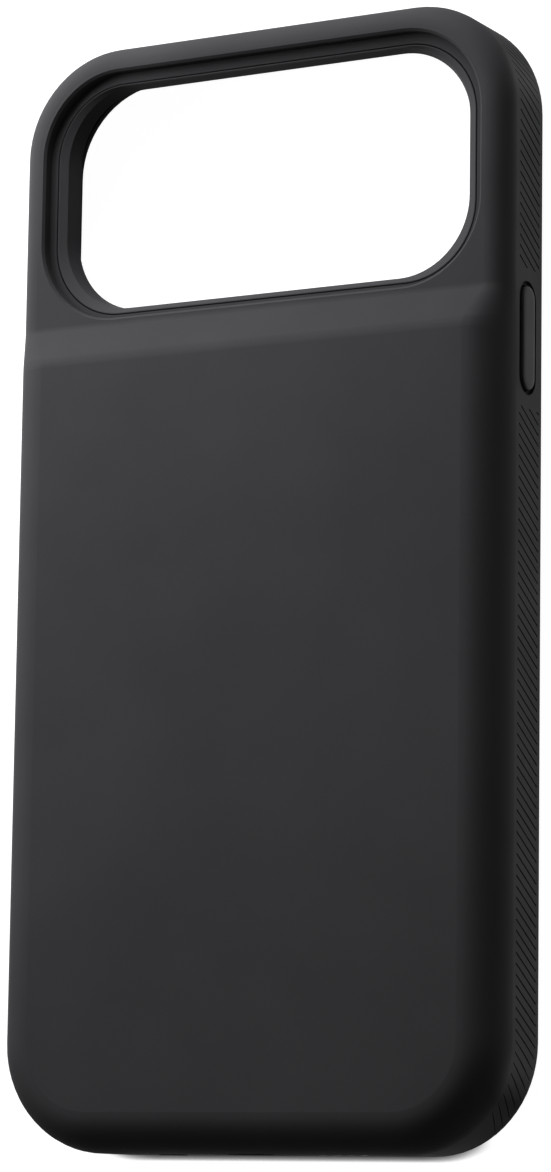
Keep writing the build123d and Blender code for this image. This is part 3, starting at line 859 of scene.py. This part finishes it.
@dataclass
class PressedCap:
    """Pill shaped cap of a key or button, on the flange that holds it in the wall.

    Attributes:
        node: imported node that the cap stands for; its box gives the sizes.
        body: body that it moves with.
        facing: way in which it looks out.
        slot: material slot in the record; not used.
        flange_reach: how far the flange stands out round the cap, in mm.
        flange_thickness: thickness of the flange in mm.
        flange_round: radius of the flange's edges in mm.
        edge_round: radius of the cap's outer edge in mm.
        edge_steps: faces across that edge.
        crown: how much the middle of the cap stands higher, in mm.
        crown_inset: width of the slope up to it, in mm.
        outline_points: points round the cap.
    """

    node: str
    body: Body
    facing: Facing
    slot: str = "soft_key"
    flange_reach: float = 0.5
    flange_thickness: float = 0.5
    flange_round: float = 0.1
    edge_round: float = 0.28
    edge_steps: int = 5
    crown: float = 0.04
    crown_inset: float = 0.35
    outline_points: int = 56

    def frame_axes(self) -> tuple[Vector, Vector, Vector]:
        """Works out the cap's own directions.

        Returns:
            The ways along it, up its face and out of the case.
        """
        out = Vector(self.facing.value)
        up = Vector((0.0, 0.0, 1.0))
        return up.cross(out), up, out

    def build(self, material: Material) -> Piece:
        """Models the cap and its flange.

        Args:
            material: what the cap is made of.

        Returns:
            The finished piece, riding on its body.
        """
        low, high = (Vector(corner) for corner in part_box(self.node))
        axes = self.frame_axes()
        length, height, depth = [abs((high - low).dot(axis)) for axis in axes]
        flange = self.model_flange(length, height, depth)
        reach = 2 * self.flange_reach * MM
        cap = self.model_pill(length - reach, height - reach, depth)
        deselect_all()
        flange.select_set(True)
        cap.select_set(True)
        bpy.context.view_layer.objects.active = cap
        bpy.ops.object.join()
        turn = Matrix(axes).transposed().to_4x4()
        cap.matrix_world = Matrix.Translation((low + high) / 2) @ turn
        bpy.ops.object.transform_apply(location=True, rotation=True, scale=True)
        bpy.ops.object.shade_smooth_by_angle(angle=SMOOTH_ANGLE)
        give_material(cap, material)
        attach(cap, self.body.value)
        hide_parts(self.node)
        log.info("cap %s on %s", cap.name, self.body.value)
        return cap

    def model_pill(self, length: float, height: float, depth: float) -> Piece:
        """Models the pill: draws the halves of a round apart, then rounds and crowns its face.

        Args:
            length: length of the pill in metres.
            height: its height in metres.
            depth: its depth in metres.

        Returns:
            The pill round the origin, looking along Z.
        """
        deselect_all()
        bpy.ops.mesh.primitive_cylinder_add(
            vertices=self.outline_points,
            radius=height / 2,
            depth=depth,
            rotation=(0.0, 0.0, math.pi / self.outline_points),
        )
        pill = name_new(f"{self.node}_cap")
        bpy.ops.object.transform_apply(location=False, rotation=True, scale=False)
        bpy.ops.object.mode_set(mode="EDIT")
        for side in (-1, 1):
            select_points(pill, lambda place: place.x * side > 0)
            bpy.ops.transform.translate(value=(side * (length - height) / 2, 0.0, 0.0))
        select_faces(pill, lambda face: face.normal.z > LOOKS_ALONG)
        bpy.ops.mesh.bevel(
            offset=self.edge_round * MM, segments=self.edge_steps, affect="EDGES"
        )
        for rise in (self.crown, 0.0):
            select_faces(
                pill, lambda face: face.normal.z > LIES_FLAT and len(face.verts) > QUAD_CORNERS
            )
            bpy.ops.mesh.inset(thickness=self.crown_inset * MM, depth=rise * MM)
        bpy.ops.object.mode_set(mode="OBJECT")
        return pill

    def model_flange(self, length: float, height: float, depth: float) -> Piece:
        """Models the plate behind the cap, with its edges taken off.

        Args:
            length: length of the plate in metres.
            height: its height in metres.
            depth: depth of the whole cap in metres.

        Returns:
            The plate at the back of the cap.
        """
        thickness = self.flange_thickness * MM
        flange = add_block(f"{self.node}_flange", Vector((length, height, thickness)))
        bpy.ops.object.mode_set(mode="EDIT")
        bpy.ops.mesh.select_all(action="SELECT")
        bpy.ops.mesh.bevel(offset=self.flange_round * MM, segments=EDGE_STEPS, affect="EDGES")
        bpy.ops.mesh.select_all(action="SELECT")
        bpy.ops.transform.translate(value=(0.0, 0.0, (thickness - depth) / 2))
        bpy.ops.object.mode_set(mode="OBJECT")
        return flange


@dataclass
class ContactRows:
    """Gilt contacts in two rows, one on each face of the charging port's tongue.

    Attributes:
        name: the piece's name.
        count: contacts in a row.
        pitch: spacing in mm.
        width: width of a contact in mm.
        length: length of a contact in mm.
        thickness: height of a contact in mm.
        level_gap: distance between the rows' middles in mm.
        nose_round: radius of the edges at a contact's ends, in mm.
    """

    name: str = "port_contacts"
    count: int = 12
    pitch: float = 0.5
    width: float = 0.28
    length: float = 3.2
    thickness: float = 0.06
    level_gap: float = 0.7
    nose_round: float = 0.025

    def build(self, middle: Vector, material: Material) -> Piece:
        """Models one contact, and repeats it along the row and in the second row.

        Args:
            middle: middle of the two rows.
            material: what the contacts are made of.

        Returns:
            The finished piece, riding on the case.
        """
        rows = add_block(self.name, Vector((self.width, self.length, self.thickness)) * MM)
        bpy.ops.object.mode_set(mode="EDIT")
        select_faces(rows, lambda face: abs(face.normal.y) > LOOKS_ALONG)
        bpy.ops.mesh.bevel(offset=self.nose_round * MM, segments=EDGE_STEPS, affect="EDGES")
        bpy.ops.object.mode_set(mode="OBJECT")
        along = (self.count, (self.pitch * MM, 0, 0))
        upward = (2, (0, 0, self.level_gap * MM))
        for count, step in (along, upward):
            apply_modifier(
                rows,
                "ARRAY",
                count=count,
                use_relative_offset=False,
                use_constant_offset=True,
                constant_offset_displace=step,
            )
        reach = Vector(((self.count - 1) * self.pitch, 0.0, self.level_gap))
        rows.location = middle - reach * (MM / 2)
        bpy.ops.object.transform_apply(location=True, rotation=True, scale=True)
        give_material(rows, material)
        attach(rows, Body.CASE.value)
        log.info("contacts %s: two rows of %d", rows.name, self.count)
        return rows


@dataclass
class SeamShadeBead:
    """Black bead that fills the seam between the sleeve and the ring in the camera window: painted
    shade for the slit there.

    Attributes:
        name: the piece's name.
        node: packed ring that the bead runs round; its box gives the place.
        flange_reach: how far the ring's hidden flange stands out beyond the seam's middle, in mm.
        corner: radius of the seam's corners in mm.
        corner_steps: faces round a corner.
        width: width of the bead in mm.
        depth: how deep it sits in the seam, in mm.
        proud: how far it stands out of the seam, in mm.
        edge_round: radius of the bead's edges in mm.
    """

    name: str = "seam_shade_bead"
    node: str = "camera_bezel"
    flange_reach: float = 1.16
    corner: float = 11.27
    corner_steps: int = 16
    width: float = 0.24
    depth: float = 0.4
    proud: float = 0.02
    edge_round: float = 0.05

    def build(self, material: Material) -> Piece:
        """Models the bead from a plate: rounds its corners, opens it to a ring and gives it depth.

        Args:
            material: what the bead is made of.

        Returns:
            The finished piece, riding on the case.
        """
        low, high = (Vector(corner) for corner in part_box(self.node))
        grow = (self.width - 2 * self.flange_reach) * MM
        deselect_all()
        bpy.ops.mesh.primitive_plane_add(size=1.0)
        bead = name_new(self.name)
        bead.scale = (high.x - low.x + grow, high.y - low.y + grow, 1.0)
        bpy.ops.object.transform_apply(location=False, rotation=False, scale=True)
        bpy.ops.object.mode_set(mode="EDIT")
        bpy.ops.mesh.select_all(action="SELECT")
        radius = (self.corner + self.width / 2) * MM
        bpy.ops.mesh.bevel(offset=radius, segments=self.corner_steps, affect="VERTICES")
        bpy.ops.mesh.select_all(action="SELECT")
        bpy.ops.mesh.inset(thickness=self.width * MM)
        bpy.ops.mesh.delete(type="FACE")
        bpy.ops.object.mode_set(mode="OBJECT")
        # An offset of -1 puts the whole depth below the plate
        apply_modifier(bead, "SOLIDIFY", thickness=self.depth * MM, offset=-1.0)
        apply_modifier(bead, "BEVEL", width=self.edge_round * MM, segments=EDGE_STEPS)
        middle = (low + high) / 2
        bead.location = (middle.x, middle.y, high.z + self.proud * MM)
        bpy.ops.object.transform_apply(location=True, rotation=True, scale=True)
        bpy.ops.object.shade_smooth_by_angle(angle=SMOOTH_ANGLE)
        give_material(bead, material)
        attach(bead, Body.CASE.value)
        log.info("bead %s round %s", bead.name, self.node)
        return bead


@dataclass
class SubAssembly:
    """Pieces of the case that belong together.

    Attributes:
        finishes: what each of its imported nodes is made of.
    """

    finishes: ClassVar[dict[str, Finish]] = {}

    def build(self) -> None:
        """Gives every node its material."""
        for node, finish in self.finishes.items():
            give_material(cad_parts[node], finish.make())
            log.info("node %s: %s", node, finish.name)


@dataclass
class Sleeve(SubAssembly):
    """Outer sleeve with the ring in its camera window, its inner mouldings and its lining.

    Attributes:
        seam_shade: black bead in the seam round the ring, painted shade for the slit there.
    """

    finishes: ClassVar[dict[str, Finish]] = {
        "outer_sleeve": SLEEVE_SKIN,
        "camera_bezel": BEZEL_PLASTIC,
        "inner_tray": INNER_PLASTIC,
        "chin_cover": INNER_PLASTIC,
        "plug_collar": INNER_PLASTIC,
        "bay_lining": LINING_CLOTH,
    }
    seam_shade: SeamShadeBead = field(default_factory=SeamShadeBead)

    def build(self) -> None:
        """Gives the mouldings their materials and models the bead of painted shade in the seam."""
        super().build()
        # The bead's near-black is painted shade for the slit between sleeve and ring
        self.seam_shade.build(SEAM_SHADE_BLACK.make())


@dataclass
class KeySet(SubAssembly):
    """Keys of the long sides and the button on the bottom end.

    Attributes:
        caps: the caps that stand for their solids.
    """

    finishes: ClassVar[dict[str, Finish]] = {
        "side_key": KEY_SKIN,
        "volume_up_key": KEY_SKIN,
        "volume_down_key": KEY_SKIN,
        "status_button": KEY_SKIN,
    }
    caps: list[PressedCap] = field(
        default_factory=lambda: [
            PressedCap("side_key", Body.SIDE_KEY, Facing.RIGHT),
            PressedCap("volume_up_key", Body.VOLUME_UP_KEY, Facing.LEFT),
            PressedCap("volume_down_key", Body.VOLUME_DOWN_KEY, Facing.LEFT),
            PressedCap(
                "status_button",
                Body.STATUS_BUTTON,
                Facing.FOOT,
                flange_reach=0.6,
                flange_thickness=0.4,
                edge_round=0.25,
                crown_inset=0.3,
            ),
        ]
    )

    def build(self) -> None:
        """Dresses the solids, and models every cap of the same material."""
        super().build()
        for cap in self.caps:
            cap.build(self.finishes[cap.node].make())


@dataclass
class BatteryPack(SubAssembly):
    """Pouch cell with its tape, tabs, leads and protection board, shut in the hump."""

    finishes: ClassVar[dict[str, Finish]] = {
        "battery_tape": TAPE_FOAM,
        "battery_cell": CELL_FOIL,
        "battery_tabs": NICKEL_STRIP,
        "battery_leads": LEAD_SILICONE,
        "protection_board": BOARD_MASK,
    }


@dataclass
class ChargingCircuit(SubAssembly):
    """Control board and connector board with the parts on them."""

    finishes: ClassVar[dict[str, Finish]] = {
        "control_board": BOARD_MASK,
        "connector_board": BOARD_MASK,
        "board_screws": PLATED_STEEL,
        "charger_chip": CHIP_EPOXY,
        "power_inductor": COIL_FERRITE,
        "capacitors": CAPACITOR_CERAMIC,
        "battery_socket": IVORY_PLASTIC,
    }


@dataclass
class Connectors(SubAssembly):
    """Plug for the phone, charging port, and the pins between the boards.

    Attributes:
        port_rows: contacts on the port's tongue.
        port_tip_gap: bare tongue in front of them, in mm.
    """

    finishes: ClassVar[dict[str, Finish]] = {
        "phone_plug_shell": DRAWN_STEEL,
        "charging_port_shell": DRAWN_STEEL,
        "phone_plug_core": CARRIER_PLASTIC,
        "charging_port_tongue": CARRIER_PLASTIC,
        "link_pins": GILT_BRASS,
    }
    port_rows: ContactRows = field(default_factory=ContactRows)
    port_tip_gap: float = 0.5

    def build(self) -> None:
        """Dresses the shells and carriers, and models the contacts."""
        super().build()
        low, high = (Vector(corner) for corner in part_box("charging_port_tongue"))
        middle = (low + high) / 2
        middle.y = low.y + (self.port_tip_gap + self.port_rows.length / 2) * MM
        self.port_rows.build(middle, GILT_BRASS.make())


@dataclass
class ChargeDisplay(SubAssembly):
    """Switch, lamps and light guides of the charge display on the bottom end."""

    finishes: ClassVar[dict[str, Finish]] = {
        "status_switch": PLATED_STEEL,
        "status_lamps": LAMP_RESIN,
        "light_guides": GUIDE_ACRYLIC,
    }


@dataclass
class Softbox:
    """One soft studio lamp.

    Attributes:
        name: the lamp's name.
        place: where it hangs, in metres.
        size: width and height in metres.
        power: in watts.
    """

    name: str
    place: Place
    size: tuple[float, float]
    power: float

    def build(self) -> None:
        """Hangs the lamp and turns it to the case."""
        lamp = bpy.data.lights.new(self.name, "AREA")
        lamp.shape = "RECTANGLE"
        lamp.size, lamp.size_y = self.size
        lamp.energy = self.power
        holder = bpy.data.objects.new(self.name, lamp)
        bpy.context.collection.objects.link(holder)
        holder.location = self.place
        holder.rotation_euler = (-Vector(self.place)).to_track_quat("-Z", "Y").to_euler()
        holder.visible_camera = False


@dataclass
class Studio:
    """White floor, soft lamps and the camera at the photograph's viewing angle.

    Attributes:
        lamps: the soft lamps.
        world_colour: colour of the light that comes from all round.
        world_level: strength of that light.
        floor_size: side of the floor in metres.
        floor_colour: what the floor gives back of the light on it, which carries the shadow.
        floor_glow: what makes the rest of the floor's white for the eye.
        contact_reach: how far the painted shadow at the case's bottom end reaches, in mm.
        contact_depth: how quickly that painted shadow darkens towards the case.
        contact_from: places along Y where the painted shadow begins and is complete, in mm.
        contact_ends: distances from the middle, in mm, at which it begins to fade and ends.
        camera_place: in mm.
        camera_aim: point that the camera looks at, in mm.
        camera_roll_deg: turn of the camera about its view.
        lens: focal length in mm.
    """

    lamps: list[Softbox] = field(
        default_factory=lambda: [
            Softbox("key_softbox", (-0.145, 0.207, 0.212), (0.25, 0.25), 0.40),
            Softbox("end_softbox", (-0.054, 0.305, 0.113), (0.25, 0.25), 1.22),
            Softbox("side_softbox", (-0.196, 0.113, 0.106), (0.18, 0.18), 0.79),
            Softbox("fill_softbox", (0.597, 0.0, 0.063), (0.1, 0.1), 0.12),
        ]
    )
    world_colour: str = "#ffffff"
    world_level: float = 0.075
    floor_size: float = 40.0
    floor_colour: str = "#8c8c8c"
    floor_glow: float = 0.985
    contact_reach: float = 1.7
    contact_depth: float = 6.0
    contact_from: Range = (-79.0, -81.5)
    contact_ends: Range = (22.0, 33.0)
    camera_place: Place = (291.377, -91.428, 528.526)
    camera_aim: Place = (1.263, -0.566, 8.2)
    camera_roll_deg: float = 0.838
    lens: float = 126.78

    def build(self) -> None:
        """Sets up the floor, the light and the camera."""
        scene = bpy.context.scene
        scene.view_settings.view_transform = "Standard"
        self.build_floor()
        self.build_world(scene)
        for lamp in self.lamps:
            lamp.build()
        self.build_camera(scene)

    def build_floor(self) -> None:
        """Lays the floor under the case."""
        deselect_all()
        bpy.ops.mesh.primitive_plane_add(size=self.floor_size)
        floor = name_new("studio_floor")
        give_material(floor, self.floor_material())

    def floor_material(self) -> Material:
        """Makes a white for the eye and for reflections that keeps the case's shadow.

        Returns:
            The floor's material.
        """
        material = new_material("matt_white_floor")
        tree = material.node_tree
        rays = add_node(tree, "ShaderNodeLightPath").outputs
        strength = rays["Is Camera Ray"]
        # The floor's glow is darkened by a painted shadow along the case's bottom end
        for operation, other in (
            ("MAXIMUM", rays["Is Glossy Ray"]),
            ("MAXIMUM", rays["Is Transmission Ray"]),
            ("MULTIPLY", self.painted_contact_shadow(tree)),
            ("MULTIPLY", self.floor_glow),
        ):
            step = add_node(tree, "ShaderNodeMath", {0: strength, 1: other}, operation=operation)
            strength = step.outputs[0]
        glow = add_node(tree, "ShaderNodeEmission", {"Strength": strength})
        matt = add_node(tree, "ShaderNodeBsdfDiffuse", {"Color": linear(self.floor_colour)})
        both = add_node(tree, "ShaderNodeAddShader", {0: glow.outputs[0], 1: matt.outputs[0]})
        add_node(tree, "ShaderNodeOutputMaterial", {"Surface": both.outputs[0]})
        return material

    def painted_contact_shadow(self, tree: Tree) -> Socket:
        """Adds a painted shadow: a dark line on the floor where the case's bottom end meets it.

        Args:
            tree: node tree of the floor's material.

        Returns:
            What the painted shadow leaves of the floor's white: 1 away from it.
        """
        place = add_node(tree, "ShaderNodeTexCoord").outputs["Object"]
        axes = add_node(tree, "ShaderNodeSeparateXYZ", {"Vector": place}).outputs
        begins, complete = self.contact_from
        lower_end = add_node(
            tree,
            "ShaderNodeMapRange",
            {"Value": axes["Y"], "From Min": begins * MM, "From Max": complete * MM},
        )
        aside = add_node(tree, "ShaderNodeMath", {0: axes["X"]}, operation="ABSOLUTE")
        fades, ends = self.contact_ends
        straight = add_node(
            tree,
            "ShaderNodeMapRange",
            {
                "Value": aside.outputs[0],
                "From Min": fades * MM,
                "From Max": ends * MM,
                "To Min": self.contact_depth,
                "To Max": 0.0,
            },
        )
        depth = add_node(
            tree,
            "ShaderNodeMath",
            {0: lower_end.outputs[0], 1: straight.outputs[0]},
            operation="MULTIPLY",
        )
        # Painted shadow: ambient occlusion darkens the floor's glow near the case, along its bottom
        # end only
        open_sky = add_node(
            tree, "ShaderNodeAmbientOcclusion", {"Distance": self.contact_reach * MM}
        )
        contact = add_node(
            tree,
            "ShaderNodeMath",
            {0: open_sky.outputs["AO"], 1: depth.outputs[0]},
            operation="POWER",
        )
        return contact.outputs[0]

    def build_world(self, scene: Scene) -> None:
        """Gives the world an even grey light.

        Args:
            scene: the scene that gets it.
        """
        world = bpy.data.worlds.new("studio_world")
        world.use_nodes = True
        background = world.node_tree.nodes["Background"]
        background.inputs["Color"].default_value = linear(self.world_colour)
        background.inputs["Strength"].default_value = self.world_level
        scene.world = world

    def build_camera(self, scene: Scene) -> None:
        """Puts the camera where the photograph was taken from.

        Args:
            scene: the scene that gets it.
        """
        camera = bpy.data.cameras.new("photo_camera")
        camera.lens = self.lens
        camera.sensor_fit = "AUTO"
        camera.clip_end = 2 * self.floor_size
        holder = bpy.data.objects.new("photo_camera", camera)
        scene.collection.objects.link(holder)
        place = Vector(self.camera_place) * MM
        ahead = (Vector(self.camera_aim) * MM - place).normalized()
        right = ahead.cross(Vector((0.0, 1.0, 0.0))).normalized()
        right = Matrix.Rotation(-math.radians(self.camera_roll_deg), 3, ahead) @ right
        up = right.cross(ahead)
        turn = Matrix((right, up, -ahead)).transposed().to_4x4()
        holder.matrix_world = Matrix.Translation(place) @ turn
        scene.camera = holder


def main() -> None:
    """Builds the case piece by piece, then the studio."""
    logging.basicConfig(level=logging.INFO, format="%(name)s: %(message)s")
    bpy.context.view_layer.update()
    Sleeve().build()
    KeySet().build()
    BatteryPack().build()
    ChargingCircuit().build()
    Connectors().build()
    ChargeDisplay().build()
    Studio().build()


if __name__ == "__main__":
    main()
